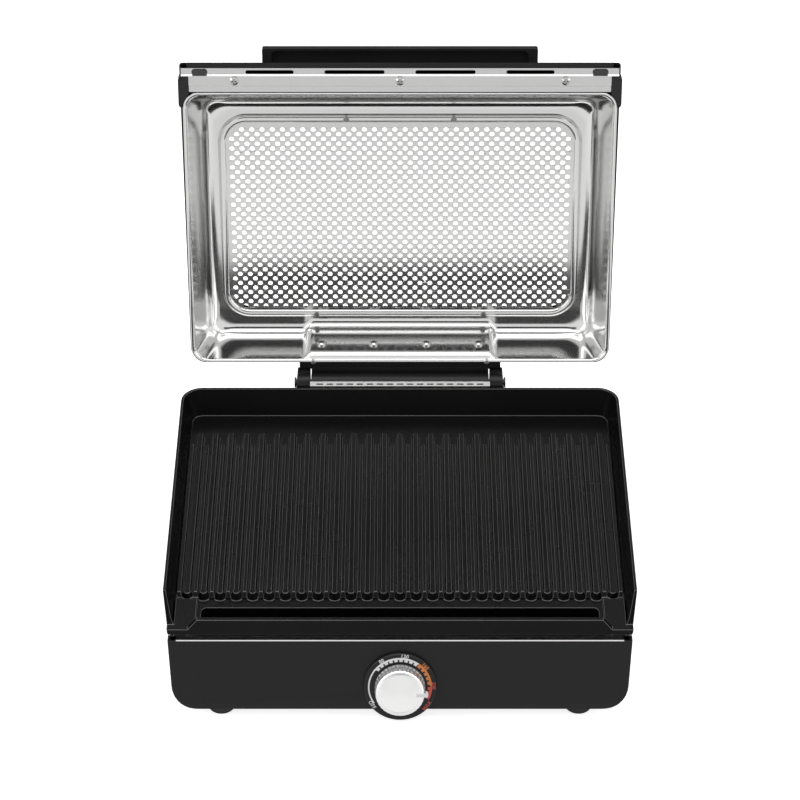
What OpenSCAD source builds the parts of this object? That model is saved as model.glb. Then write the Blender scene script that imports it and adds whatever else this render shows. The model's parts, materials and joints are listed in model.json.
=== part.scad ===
// Electric indoor grill: a leaning-front housing with one dial, a lift-out ribbed plate and a hinged steel lid.
// Millimetres, +Z up, front towards -Y, feet on z = 0. The lid stands open, at its stop.

/* [Housing] */
// Width at the housing's top edge
housing_w = 408; // [370:1:470]
// Depth from the front's lower edge to the back wall
housing_d = 372; // [360:1:420]
// Height from the underside to the top edge
housing_h = 62.5; // [56:0.5:75]
// Wall of the housing
housing_wall = 2.5; // [2:0.5:4]
// How far the front panel leans back
panel_tilt = 19; // [10:1:25]
// How far the sides lean in towards the bottom
side_slope = 3.4; // [2:0.1:5]
// Radius that turns the sides under
under_r = 23; // [15:1:26]
// Height of the feet
foot_h = 11; // [8:0.5:14]
// Diameter of a foot
foot_d = 25; // [20:1:27]
// Distance between left and right feet
foot_span = 317; // [280:1:330]

/* [Grill plate] */
// Width over the rim
plate_w = 417; // [380:1:480]
// From the front's lower edge of the housing to the back of the rim
plate_back = 344; // [330:1:350]
// Height of the rim above the housing's top edge
rim_rise = 32; // [28:1:40]
// Height of the front lip above the housing's top edge
lip_rise = 19; // [15:0.5:24]
// Thickness of the plate's walls at the rim
plate_wall = 2.5; // [2:0.5:4]
// Distance between wide ribs
rib_pitch = 14.56; // [13:0.01:16]
// Number of wide ribs
rib_count = 27; // [21:2:27]
// Height of the wide ribs
rib_h = 5; // [3:0.5:6]
// Width of the grease channel, front to back
channel_d = 27; // [20:1:28]
// Length of the grease channel, left to right
channel_w = 352; // [300:1:360]

/* [Lid] */
// Width over the rim flange
lid_w = 399; // [360:1:402]
// Length of the steel tub, rear flange to front flange
tub_l = 275; // [260:1:280]
// Length of the whole lid, with the slotted strip
lid_l = 304; // [300:0.5:310]
// Depth of the tub under the roof
lid_depth = 62; // [50:1:75]
// Flat length of the roof
roof_l = 245; // [228:1:248]
// Flat width of the roof
roof_w = 364; // [330:1:372]
// Diagonal distance between the roof's holes
hole_pitch = 6.82; // [6.5:0.01:8]
// Diameter of the roof's holes
hole_d = 4.6; // [3.5:0.1:4.8]
// Rows of holes on each side of the middle row
hole_rows = 19; // [10:1:19]
// How far the lid opens
lid_open = 101; // [95:1:105]

/* [Hinge] */
// From the plate's rim to the hinge axis
hinge_gap = 12; // [11.5:0.5:16]
// Height of the hinge axis above the housing's top edge
hinge_rise = 29; // [26:0.5:34]
// Radius of the hinge ears
ear_r = 9; // [8:0.5:9]
// Width over the hinge ears
hinge_w = 198; // [180:1:220]
// Diameter of the hinge pin
pin_d = 6; // [5:0.5:7]

/* [Controls] */
// Diameter of the dial plate
dial_d = 64; // [60:1:68]
// Thickness of the dial plate
dial_t = 4; // [2:0.5:5]
// Diameter of the knob
knob_d = 43.6; // [38:0.2:46]
// How far the knob stands out from the dial plate
knob_h = 15; // [13:0.5:20]
// Diameter of the thermostat's shaft
shaft_d = 6; // [5:0.5:7]

/* [Hidden] */

$fn = 48;
eps = 0.02;
fit = 0.3;                    // gap between pieces that are dropped together
run = 0.05;                   // radial gap of a running fit
tight = 0.02;                 // radial gap of a pin held in its seat
face_gap = 0.2;               // gap between flat faces that rest on each other

steel = "silver";
charcoal = [0.18, 0.18, 0.19];
black = [0.08, 0.08, 0.08];

// Levels and places of the base, measured from the front's lower edge
floor_z = foot_h;
top_z = floor_z + housing_h;
liner_t = 1;
rest_z = top_z + liner_t;                 // where the plate sits on the liner's flange
rim_z = top_z + rim_rise;
hinge_y = plate_back + hinge_gap;
hinge_z = top_z + hinge_rise;
lip_z = top_z + lip_rise;
lean = lid_open - 90;

// At rest the knob's lower edge is the front-most point and the fold of the lid's roof the rear-most
lid_lift = 1.9;                           // rim flange above the hinge axis, lid closed
lid_set = 20.2;                           // rim flange in front of the hinge axis, lid closed
shell_gap = 0.5;
tub_t = 1;
shell_t = 1.5;
shell_top = lid_depth + tub_t + shell_gap + shell_t;
handle_y = -304;
handle_z = 38;
handle_t = 7.5;
dial_up = 22.7/cos(panel_tilt);           // dial centre above the panel's lower edge, along the panel
shell_r = 8;
rear_reach = hinge_y + (lid_set + roof_l + 3 - shell_r)*sin(lean) + (shell_top - shell_r + lid_lift)*cos(lean)
    + shell_r;
front_reach = (dial_t + knob_h - 0.1)*cos(panel_tilt) + (knob_d/2 - 1.2 - dial_up)*sin(panel_tilt);
origin_y = (rear_reach - front_reach)/2;

// Rest places: the base is drawn from its front edge, the lid from its rear flange
module base_place() {
    translate([0, -origin_y, 0]) children();
}

module lid_place() {
    translate([0, hinge_y - origin_y, hinge_z]) rotate([-lid_open, 0, 0])
        translate([0, -lid_set, lid_lift]) children();
}

// On the dial's axis: z = 0 is the panel's face, +Z stands out from it
module dial_place() {
    translate([0, -origin_y, floor_z]) rotate([90 - panel_tilt, 0, 0])
        translate([0, dial_up, 0]) children();
}

module pair() {
    for (side = [-1, 1]) scale([side, 1, 1]) children();
}

// A rectangle with round corners, centred in X, from y = 0 to y = l
module round_rect(w, l, r) {
    translate([-w/2 + r, 0]) square([w - 2*r, l]);
    translate([-w/2, r]) square([w, l - 2*r]);
    for (side = [-1, 1]) for (y = [r, l - r]) translate([side*(w/2 - r), y]) circle(r);
}

// A slot along X
module slot(l, d) {
    square([l - d, d], center = true);
    for (side = [-1, 1]) translate([side*(l - d)/2, 0]) circle(d/2);
}

// A profile drawn in Y and Z, pulled out along X and centred
module along_x(l) {
    translate([-l/2, 0, 0]) rotate([90, 0, 90]) linear_extrude(l) children();
}

// A pan-head screw, head up, with a cross recess
module screw(d, l, head_d, head_h) {
    difference() {
        union() {
            translate([0, 0, -l]) cylinder(h = l + eps, d = d, $fn = 24);
            cylinder(h = head_h*0.5, d = head_d, $fn = 32);
            translate([0, 0, head_h*0.5]) cylinder(h = head_h*0.5, d1 = head_d, d2 = head_d*0.62, $fn = 32);
        }
        for (turn = [0, 90]) rotate(turn) translate([-head_d*0.28, -head_d*0.07, head_h*0.35])
            cube([head_d*0.56, head_d*0.14, head_h]);
    }
}

// ---- housing ----

// Front view of the housing: sides lean in, then turn under on one radius
module under_profile(inset) {
    r = under_r - inset;
    half_top = housing_w/2 - inset;
    drop = housing_h - under_r;
    cx = half_top - drop*tan(side_slope) - r/cos(side_slope);
    cz = under_r;
    touch = [cx + r*cos(side_slope), cz - r*sin(side_slope)];
    polygon([[-touch[0], touch[1]], [-cx, cz - r], [cx, cz - r], touch,
        [half_top, housing_h], [-half_top, housing_h]]);
    for (side = [-1, 1]) translate([side*cx, cz]) circle(r, $fn = 64);
}

toe_h = 6;                    // height of the band along the front's lower edge, where the panel turns upright
toe_in = 1.2;                 // how far that band's lower edge stands back

// The housing's form with the panel's lean; inset moves every wall inwards
module housing_form(inset, top) {
    difference() {
        translate([0, housing_d - inset, floor_z]) rotate([90, 0, 0])
            linear_extrude(housing_d - inset + 1) under_profile(inset);
        along_x(housing_w + 20) polygon([[-60, 0], [inset/cos(panel_tilt) - floor_z*tan(panel_tilt), 0],
            [inset/cos(panel_tilt) + (top - floor_z)*tan(panel_tilt), top], [-60, top]]);
        if (inset == 0) along_x(housing_w + 20) polygon([[-60, floor_z - 1], [toe_in, floor_z - 1],
            [toe_in, floor_z], [toe_h*tan(panel_tilt), floor_z + toe_h], [-60, floor_z + toe_h]]);
    }
}

mouth_y = 26;                 // front of the shell's open mouth
floor_screw_d = 3.4;          // hole for a foot's screw
pilot_d = 3.1;                // hole that a 3 mm screw bites into
clear_d = 3.6;                // hole that a 3 mm screw passes through
post_d = 9;
ledge_in = 6;                 // width of the ledge, inside and outside the cover's opening
ledge_t = 2;
cover_r = 8;
cover_w = 300;
cover_y = 44;
cover_l = 286;
cover_t = 2.5;
cover_screw_x = cover_w/2 - 8;
cover_screw_y = [cover_y + 10, cover_y + cover_l - 10];
foot_y = [17.5, 340];
gland_x = 120;
gland_z = floor_z + 26;
gland_d = 14;
inlet_d = 7.4;                // bore for the cord
panel_hole_d = shaft_d + 6;

module housing() {
    color(charcoal) base_place() {
        difference() {
            housing_form(0, top_z + 10);
            translate([0, 0, eps]) housing_form(housing_wall, top_z + 10);
            // the mouth of the shell
            translate([0, 0, top_z - housing_wall]) linear_extrude(20) translate([0, mouth_y, 0])
                round_rect(housing_w - 2*housing_wall, housing_d - mouth_y - housing_wall, 3);
            translate([0, cover_y, floor_z - 1]) linear_extrude(10) round_rect(cover_w, cover_l, cover_r);
            translate([gland_x, housing_d + 1, gland_z]) rotate([90, 0, 0]) cylinder(h = 10, d = gland_d);
            translate([0, origin_y, 0]) dial_place() translate([0, 0, -15]) cylinder(h = 30, d = panel_hole_d);
            for (x = [-1, 1]*foot_span/2) for (y = foot_y)
                translate([x, y, floor_z - 1]) cylinder(h = 6, d = floor_screw_d, $fn = 24);
        }
        // ledge that the bottom cover rests against
        difference() {
            translate([0, cover_y - ledge_in, floor_z + housing_wall]) linear_extrude(ledge_t)
                round_rect(cover_w + 2*ledge_in, cover_l + 2*ledge_in, cover_r + ledge_in);
            translate([0, cover_y + ledge_in, floor_z]) linear_extrude(10)
                round_rect(cover_w - 2*ledge_in, cover_l - 2*ledge_in, cover_r/2);
            for (x = [-1, 1]*cover_screw_x) for (y = cover_screw_y)
                translate([x, y, floor_z]) cylinder(h = 10, d = pilot_d, $fn = 24);
        }
        // screw posts for the liner
        for (x = [-1, 1]*liner_screw_x) for (y = liner_screw_y) translate([x, y, floor_z + housing_wall - eps])
            difference() {
                cylinder(h = housing_h - housing_wall - liner_drop - liner_t - face_gap, d = post_d);
                translate([0, 0, 6]) cylinder(h = housing_h, d = pilot_d, $fn = 24);
            }
    }
}

louvre_l = 52;
louvre_d = 5;
louvre_step = 70;
louvre_row = 26;

module bottom_cover() {
    color(charcoal) base_place() difference() {
        translate([0, cover_y + fit, floor_z]) linear_extrude(cover_t) round_rect(cover_w - 2*fit,
            cover_l - 2*fit, cover_r - fit);
        // louvres that let the housing breathe
        for (row = [-3:3]) for (col = [-1:1]) translate([col*louvre_step, cover_y + cover_l/2 + row*louvre_row,
            floor_z - 1]) linear_extrude(cover_t + 2) slot(louvre_l, louvre_d);
        for (x = [-1, 1]*cover_screw_x) for (y = cover_screw_y)
            translate([x, y, floor_z - 1]) cylinder(h = 10, d = clear_d, $fn = 24);
    }
}

module cover_screws() {
    color(steel) base_place() for (x = [-1, 1]*cover_screw_x) for (y = cover_screw_y)
        translate([x, y, floor_z]) rotate([180, 0, 0]) screw(3, 4.4, 6.4, 2);
}

foot_bore = 1.8;              // radius of the foot's hole
foot_edge = 3;                // radius round the foot's lower edge
sink_r = 4.2;                 // radius and depth of the pocket for the screw's head
sink_h = 5;

module foot_shape() {
    rotate_extrude($fn = 48) difference() {
        union() {
            translate([foot_bore, 0]) square([foot_d/2 - foot_bore - foot_edge, foot_h - fit]);
            translate([foot_bore, foot_edge]) square([foot_d/2 - foot_bore, foot_h - fit - foot_edge]);
            translate([foot_d/2 - foot_edge, foot_edge]) circle(foot_edge);
        }
        translate([-1, -1]) square([sink_r + 1, sink_h + 1]);
    }
}

module feet() {
    color(black) base_place() for (x = [-1, 1]*foot_span/2) for (y = foot_y) translate([x, y, 0]) foot_shape();
}

module foot_screws() {
    color(steel) base_place() for (x = [-1, 1]*foot_span/2) for (y = foot_y)
        translate([x, y, sink_h - fit]) rotate([180, 0, 0]) screw(3.2, 9, 6.4, 2.2);
}

// ---- heat liner and heating element ----

liner_drop = 30;
liner_screw_x = 176;
liner_screw_y = [72, 300];
flange_y = 18;
pan_r = 14;
leg_hole_d = 11;
vent_step = 9.6;
vent_l = 6.4;
vent_h = 1.1;
pan_w = 372;
pan_y = 28;
pan_back = 334;
upstand_y = 346.2;
upstand_over = 6.8;           // top of the upstand above the hinge axis
upstand_h = hinge_rise + upstand_over;
upstand_w = 172;
upstand_lip = 4;              // height of the upstand's leaning top edge
lip_back = 2.4;               // how far that edge leans back
flange_end = 196.5;           // half width of the flange's front edge

module heat_liner() {
    color(steel) base_place() {
        // flange on the housing's edge, cut back along the leaning panel
        difference() {
            translate([0, flange_y, top_z]) linear_extrude(liner_t)
                round_rect(housing_w - 1, upstand_y + 1 - flange_y, 8);
            translate([0, pan_y, top_z - 1]) linear_extrude(4) round_rect(pan_w - 2*liner_t,
                pan_back - pan_y, pan_r);
            along_x(housing_w + 20) polygon([[0, top_z - 2], [(housing_h - 2)*tan(panel_tilt) + 0.4, top_z - 2],
                [(housing_h + 4)*tan(panel_tilt) + 0.4, top_z + 4], [0, top_z + 4]]);
            pair() translate([flange_end, 0, top_z - 1]) cube([20, pan_y, 4]);
        }
        // pan under the element
        difference() {
            translate([0, pan_y - liner_t, top_z - liner_drop - liner_t]) linear_extrude(liner_drop + liner_t + eps)
                round_rect(pan_w, pan_back - pan_y + 2*liner_t, pan_r + liner_t);
            translate([0, pan_y, top_z - liner_drop]) linear_extrude(liner_drop + 2)
                round_rect(pan_w - 2*liner_t, pan_back - pan_y, pan_r);
            for (x = [-1, 1]*liner_screw_x) for (y = liner_screw_y)
                translate([x, y, top_z - liner_drop - 4]) cylinder(h = 8, d = clear_d, $fn = 24);
            for (x = [-1, 1]*leg_x) translate([x, leg_y, top_z - liner_drop - 4]) cylinder(h = 8, d = leg_hole_d);
            translate([0, rod_y, top_z - liner_drop - 4]) cylinder(h = 8, d = rod_d + 2*fit);
        }
        // upstand that shields the hinge from the plate; its top edge leans back and has a row of vents
        difference() {
            translate([0, upstand_y, top_z]) along_x(upstand_w) polygon([[-0.4, eps], [0.4, eps],
                [0.4, upstand_h - upstand_lip], [0.4 + lip_back, upstand_h], [-0.6 + lip_back, upstand_h],
                [-0.4, upstand_h - upstand_lip + 0.4]]);
            for (i = [-8:8]) translate([i*vent_step, upstand_y, top_z + upstand_h - upstand_lip/2])
                rotate([90, 0, 0]) linear_extrude(2*upstand_lip, center = true) slot(vent_l, vent_h);
        }
    }
}

module liner_screws() {
    color(steel) base_place() for (x = [-1, 1]*liner_screw_x) for (y = liner_screw_y)
        translate([x, y, top_z - liner_drop]) screw(3, 9, 6.6, 2.2);
}

element_d = 7;
element_z = rest_z - face_gap - element_d/2 - fit;
bend_r = 26;
element_x = [26, 78, 130];
element_front = 96;
element_back = 276;
element_rear = 300;
leg_r = 8;
leg_x = element_x[0];
leg_y = element_front - leg_r;
leg_bottom = floor_z + 8;

// A bend of the element in its own plane
module element_bend(r, turn) {
    rotate_extrude(angle = turn, $fn = 48) translate([r, 0]) circle(element_d/2, $fn = 24);
}

module heating_element() {
    color([0.35, 0.35, 0.36]) base_place() {
        translate([0, 0, element_z]) {
            for (side = [-1, 1]) {
                // runs from front to back
                for (x = element_x) translate([side*x, element_front, 0]) rotate([-90, 0, 0])
                    cylinder(h = (x == element_x[2] ? element_rear : element_back) - element_front, d = element_d,
                        $fn = 24);
                translate([side*(element_x[0] + bend_r), element_back, 0]) element_bend(bend_r, 180);
                translate([side*(element_x[1] + bend_r), element_front, 0]) rotate(180) element_bend(bend_r, 180);
                translate([side*(element_x[2] - bend_r), element_rear, 0]) rotate(side > 0 ? 0 : 90)
                    element_bend(bend_r, 90);
                // legs that turn down through the liner
                translate([side*leg_x, element_front, -leg_r]) rotate([0, -90, 0]) rotate(-90)
                    element_bend(leg_r, 90);
                translate([side*leg_x, leg_y, leg_bottom - element_z])
                    cylinder(h = element_z - leg_r - leg_bottom, d = element_d, $fn = 24);
            }
            // run along the back that joins both sides
            translate([-element_x[2] + bend_r, element_rear + bend_r, 0]) rotate([0, 90, 0])
                cylinder(h = 2*(element_x[2] - bend_r), d = element_d, $fn = 24);
        }
    }
}

collar_h = 9;                 // height of an insulator under the liner

module element_insulators() {
    color("ivory") base_place() for (side = [-1, 1]) translate([side*leg_x, leg_y, top_z - liner_drop - collar_h])
        difference() {
            union() {
                cylinder(h = collar_h + 1 + liner_t, d = leg_hole_d - 2*fit);
                cylinder(h = collar_h - liner_t - face_gap, d = leg_hole_d + 4);
            }
            translate([0, 0, -1]) cylinder(h = 20, d = element_d + 2*tight);
        }
}

module element_clips() {
    color(steel) base_place() for (y = [150, 240]) for (side = [-1, 1]) for (x = [element_x[1]])
        translate([side*x, y, 0]) {
            difference() {
                translate([-7, -5, top_z - liner_drop + eps]) cube([14, 10, element_z - top_z + liner_drop]);
                translate([-5.8, -6, top_z - liner_drop + 1.2]) cube([11.6, 12, element_z - top_z + liner_drop - 2.4
                    - element_d/2]);
                translate([0, -8, element_z]) rotate([-90, 0, 0]) cylinder(h = 16, d = element_d + 2*tight);
            }
        }
}

// ---- thermostat and wiring ----

stat_w = 46;
stat_h = 24;
stat_d = 14;
stat_gap = 3;
rod_y = 84;
rod_d = 6;
rod_bottom = floor_z + 24;
rod_head_d = 9;

module thermostat() {
    color("dimgray") dial_place() translate([0, 0, -housing_wall - stat_gap - stat_d]) difference() {
        translate([0, -stat_h/2, 0]) linear_extrude(stat_d) round_rect(stat_w, stat_h, 4);
        translate([0, 0, stat_d - 11]) cylinder(h = 20, d = shaft_d + 2*run);
        for (side = [-1, 1]) translate([side*(stat_w/2 - 5), 0, stat_d - 8]) cylinder(h = 20, d = 2.9, $fn = 24);
    }
}

module thermostat_bracket() {
    color(steel) dial_place() translate([0, 0, -housing_wall - stat_gap + eps]) difference() {
        union() {
            translate([0, -11, 0]) linear_extrude(1.4) round_rect(stat_w + 14, 22, 3);
            pair() translate([stat_w/2 + 2, -11, 0]) cube([5, 22, stat_gap - 2*eps]);
        }
        translate([0, 0, -1]) cylinder(h = 10, d = shaft_d + 3);
        for (side = [-1, 1]) translate([side*(stat_w/2 - 5), 0, -1]) cylinder(h = 10, d = 3.2, $fn = 24);
    }
}

module sensing_rod() {
    color("gold") base_place() translate([0, rod_y, 0]) {
        translate([0, 0, rod_bottom]) cylinder(h = element_z - rod_bottom, d = rod_d, $fn = 24);
        translate([0, 0, element_z - 4]) cylinder(h = 7, d = rod_head_d);
    }
}

module thermal_fuse() {
    color("white") base_place() translate([70, 120, top_z - liner_drop - liner_t - 4 - fit])
        rotate([0, 90, 0]) {
            cylinder(h = 22, d = 8);
            translate([0, 0, -6]) cylinder(h = 34, d = 1.6, $fn = 24);
        }
}

block_x = gland_x - 60;
block_y = housing_d - 32;
block_hole = 7;

module terminal_block() {
    color("ivory") base_place() translate([block_x, block_y, floor_z + housing_wall + face_gap]) difference() {
        cube([44, 22, 16]);
        for (i = [0:2]) translate([8 + i*14, 11, 4]) cylinder(h = 20, d = 6);
        for (i = [0:2]) translate([8 + i*14, -1, block_hole]) rotate([-90, 0, 0])
            cylinder(h = 30, d = 3, $fn = 24);
    }
}

// One wire goes to the element's right leg, two to the thermostat
wire_d = 2.6;
wire_turn = 10;
wire_y = [leg_y, 22, 15];
wire_end = [leg_x + element_d/2 + fit, stat_w/2 + fit, stat_w/2 + fit];

module wiring() {
    color([0.8, 0.1, 0.1]) base_place() for (i = [0:2])
        translate([block_x + 8 + i*14, wire_y[i] + wire_turn, floor_z + housing_wall + face_gap + block_hole]) {
            rotate([-90, 0, 0]) cylinder(h = block_y + 6 - wire_y[i] - wire_turn, d = wire_d, $fn = 24);
            translate([-wire_turn, 0, 0]) rotate(-90) rotate_extrude(angle = 90, $fn = 48)
                translate([wire_turn, 0]) circle(wire_d/2, $fn = 24);
            translate([wire_end[i] - block_x - 8 - i*14, -wire_turn, 0]) rotate([0, 90, 0])
                cylinder(h = block_x + 8 + i*14 - wire_turn - wire_end[i], d = wire_d, $fn = 24);
        }
}

module cord_gland() {
    color(black) base_place() translate([gland_x, housing_d, gland_z]) rotate([90, 0, 0]) difference() {
        union() {
            translate([0, 0, -4]) cylinder(h = 4 - fit, d = gland_d + 7);
            translate([0, 0, -fit - eps]) cylinder(h = housing_wall + 2*fit + 2*eps, d = gland_d - 2*tight);
            translate([0, 0, housing_wall + fit]) cylinder(h = 4, d = gland_d + 5);
        }
        translate([0, 0, -10]) cylinder(h = 30, d = inlet_d);
    }
}

// ---- dial and knob ----

module dial_plate() {
    color(black) dial_place() difference() {
        union() {
            translate([0, 0, face_gap]) cylinder(h = dial_t - face_gap - 1, d = dial_d, $fn = 96);
            translate([0, 0, dial_t - 1]) cylinder(h = 1, d1 = dial_d, d2 = dial_d - 2, $fn = 96);
            translate([0, 0, -housing_wall]) cylinder(h = housing_wall + 1, d = panel_hole_d - fit);
        }
        translate([0, 0, -10]) cylinder(h = 30, d = shaft_d + 2*fit);
    }
}

module thermostat_shaft() {
    color(steel) dial_place() difference() {
        translate([0, 0, -housing_wall - stat_gap - 10]) cylinder(h = housing_wall + stat_gap + 10 + dial_t
            + knob_h - 8.5, d = shaft_d);
        // the flat that turns with the knob
        translate([-shaft_d, shaft_d/2 - 1.2, dial_t + 2.6]) cube([2*shaft_d, shaft_d, knob_h]);
    }
}

knob_turn = -3;               // where the pointer stands, from 3 o'clock

cap_h = 4;                    // the cap's share of the knob's height, with the gap under the knob
flutes = 36;
boss_d = 13;

module knob_skirt() {
    color("gainsboro") dial_place() translate([0, 0, dial_t + fit]) difference() {
        union() {
            cylinder(h = knob_h - cap_h, d = knob_d - 1.2, $fn = 96);
            // grip flutes
            for (i = [0:flutes - 1]) rotate(i*360/flutes) translate([knob_d/2 - 0.7, 0, 0.6])
                cylinder(h = knob_h - cap_h - 1.2, d = 2, $fn = 16);
            cylinder(h = 1.4, d = knob_d + 0.6, $fn = 96);
        }
        difference() {
            translate([0, 0, -1]) cylinder(h = knob_h - 6, d = knob_d - 6);
            cylinder(h = knob_h, d = boss_d);
        }
        translate([0, 0, -1]) difference() {
            cylinder(h = knob_h - 7, d = shaft_d + 2*tight);
            translate([-shaft_d, shaft_d/2 - 1.2 + tight, 3.9]) cube([2*shaft_d, shaft_d, knob_h]);
        }
    }
}

module knob_cap() {
    color(steel) dial_place() translate([0, 0, dial_t + fit + knob_h - cap_h]) {
        cylinder(h = 2.4, d = knob_d, $fn = 96);
        translate([0, 0, 2.4]) cylinder(h = 1.2, d1 = knob_d, d2 = knob_d - 2.4, $fn = 96);
    }
}

module knob_pointer() {
    color("white") dial_place() rotate(knob_turn) translate([knob_d/2 + eps, 0, dial_t + fit + knob_h - 5.2])
        intersection() {
            translate([0.8, 0, 0]) cylinder(h = 4.6, d = 4.6);
            translate([0.5, -4, -1]) cube([8, 8, 8]);
        }
}

module knob_spring() {
    color(steel) dial_place() translate([0, 0, dial_t + fit + 1]) difference() {
        cylinder(h = 4, d = boss_d + 1.6);
        translate([0, 0, -1]) cylinder(h = 6, d = boss_d + 2*tight);
        translate([0, -1.5, -1]) cube([10, 3, 6]);
    }
}

// ---- hinge ----

ear_t = 13;
barrel_w = hinge_w - 2*ear_t - 2;
stand_back = housing_d - 0.5;
lug_x = 44;
lug_front = 12.8;
lug_back = stand_back - hinge_y;

ear_slope = 3;                // how much an ear's outer face leans in over its height

module hinge_stand() {
    color(black) base_place() difference() {
        union() {
            pair() intersection() {
                translate([hinge_w/2 - ear_t/2 + ear_slope/2, hinge_y, 0]) along_x(ear_t + ear_slope) union() {
                    translate([0, hinge_z]) circle(ear_r);
                    translate([-ear_r + 0.9, top_z + eps]) square([2*ear_r - 0.9, hinge_rise]);
                    // cheek that fills the space under the open bracket
                    polygon([[0, hinge_z - 12], [lug_back, hinge_z - 12], [lug_back, hinge_z + stop_z(lug_back)],
                        [lug_front, hinge_z + stop_z(lug_front)], [0, hinge_z]]);
                }
                translate([0, housing_d, 0]) rotate([90, 0, 0]) linear_extrude(housing_d) polygon([[0, top_z],
                    [hinge_w/2 + ear_slope, top_z], [hinge_w/2 - 1, hinge_z + ear_r + 1], [0, hinge_z + ear_r + 1]]);
            }
            // low wall between the ears, behind and under the barrel
            translate([0, hinge_y, 0]) along_x(hinge_w) polygon([[-4, top_z + eps], [stand_back - hinge_y, top_z + eps],
                [stand_back - hinge_y, hinge_z - 10], [ear_r + 0.6, hinge_z - ear_r - 0.6], [-4, hinge_z - ear_r - 1]]);
            // lugs that stop the open lid
            pair() translate([lug_x, hinge_y, 0]) along_x(26) polygon([[lug_front, hinge_z - 12],
                [lug_back, hinge_z - 12], [lug_back, hinge_z + stop_z(lug_back)],
                [lug_front, hinge_z + stop_z(lug_front)]]);
        }
        translate([-hinge_w, hinge_y, hinge_z]) rotate([0, 90, 0]) cylinder(h = 2*hinge_w, d = pin_d + 2*tight);
    }
}

// Height of the open bracket's underside above the hinge axis, less the fit, at a distance y behind the axis
foot_y0 = 9.6;
function stop_z(y) = (foot_y0 - y*sin(lean) )/cos(lean) - fit - 0.05;

pin_out = 0.8;                // from the ear's nominal face to the pin's head
pin_head_t = 1.4;

module hinge_pin() {
    color(steel) base_place() translate([0, hinge_y, hinge_z]) rotate([0, 90, 0]) {
        cylinder(h = hinge_w + 2*pin_out, d = pin_d, center = true);
        for (side = [-1, 1]) translate([0, 0, side*(hinge_w/2 + pin_out + pin_head_t/2)])
            cylinder(h = pin_head_t + eps, d = pin_d + 4, center = true);
    }
}

bracket_screw_x = [25.4, 75.6];
bracket_screw_z = 21.7;
pad_in = 9;
bracket_w = 193;
web_z = 7.5;
web_t = 3.2;

// Drawn in the lid's place, where the hinge axis is at [lid_set, -lid_lift]
module hinge_bracket() {
    color(black) lid_place() {
        difference() {
            union() {
                along_x(bracket_w) bracket_outline();
                // web and barrel on the pin
                along_x(barrel_w) union() {
                    translate([lid_set, -lid_lift]) circle(ear_r - 0.3);
                    translate([lid_set - foot_y0 - 3, web_z - lid_lift]) square([foot_y0 + 5, web_t]);
                    translate([lid_set - 4, -lid_lift]) square([6, web_z + web_t]);
                }
                // spigots through the shell to the tub's pad
                for (side = [-1, 1]) for (x = bracket_screw_x) translate([side*x, 2, bracket_screw_z])
                    rotate([90, 0, 0]) cylinder(h = pad_in - tub_t - face_gap + 2, d = 9);
            }
            translate([-hinge_w, lid_set, -lid_lift]) rotate([0, 90, 0]) cylinder(h = 2*hinge_w, d = pin_d + 2*run);
            for (side = [-1, 1]) for (x = bracket_screw_x) translate([side*x, 4, bracket_screw_z])
                rotate([90, 0, 0]) cylinder(h = 20, d = 3.4, $fn = 24);
        }
    }
}

module bracket_outline() {
    low = web_z - lid_lift;
    out = lid_set - foot_y0;
    translate([fit, low]) square([5, 42.5]);
    translate([fit, low]) square([out - fit - 4, 7]);
    translate([fit, low + web_t]) square([out - fit, 4]);
    translate([out - 3.5, low + 3.5]) circle(3.5);
}

module bracket_screws() {
    color(steel) lid_place() for (side = [-1, 1]) for (x = bracket_screw_x)
        translate([side*x, -pad_in, bracket_screw_z]) rotate([90, 0, 0]) screw(3.2, 12, 9, 2.6);
}

module bracket_rivets() {
    color(steel) lid_place() pair() translate([83.3, -1.4, -face_gap]) rotate([180, 0, 0]) {
        cylinder(h = 1, d = 5.6);
        translate([0, 0, 1]) cylinder(h = 0.7, d1 = 5.6, d2 = 3.2);
    }
}

// ---- grill plate ----

plate_top_r = 20;
plate_flare = 4.5;
plate_low_z = rest_z + 5.5;
plate_floor_z = rest_z + 4.5;
inner_flare = 7.5;
channel_y = 34;
channel_floor_z = rest_z - 16.5;
lip_corner_z = plate_floor_z + rib_h;
shoulder_y = 53;
lip_t = 4.2;
nose_y = 76;                  // centre of the wide ribs' round front ends
nose_r = 5.8;
pad_back = 66;
rib_back = plate_back - 43;
ledge_z = plate_floor_z - 1.5;            // step between the ribs and the channel

// Four cones hulled to a flared tray
module flared_tray(z0, z1, half_top, flare, r_top, back, front) {
    hull() for (side = [-1, 1]) for (y = [front + r_top, back - r_top])
        translate([side*(half_top - r_top), y, z0]) cylinder(h = z1 - z0, r1 = r_top - flare, r2 = r_top, $fn = 32);
}

module front_wedge(offset_y) {
    along_x(plate_w + 40) polygon([[-80, floor_z], [offset_y, floor_z],
        [offset_y + 120*tan(panel_tilt), floor_z + 120], [-80, floor_z + 120]]);
}

// A rib with sloping flanks
module rib(x, foot, top, h, y0, y1) {
    translate([x, y1, plate_floor_z - 0.5]) rotate([90, 0, 0]) linear_extrude(y1 - y0)
        polygon([[-foot/2, 0], [foot/2, 0], [top/2, h + 0.5], [-top/2, h + 0.5]]);
}

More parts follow.
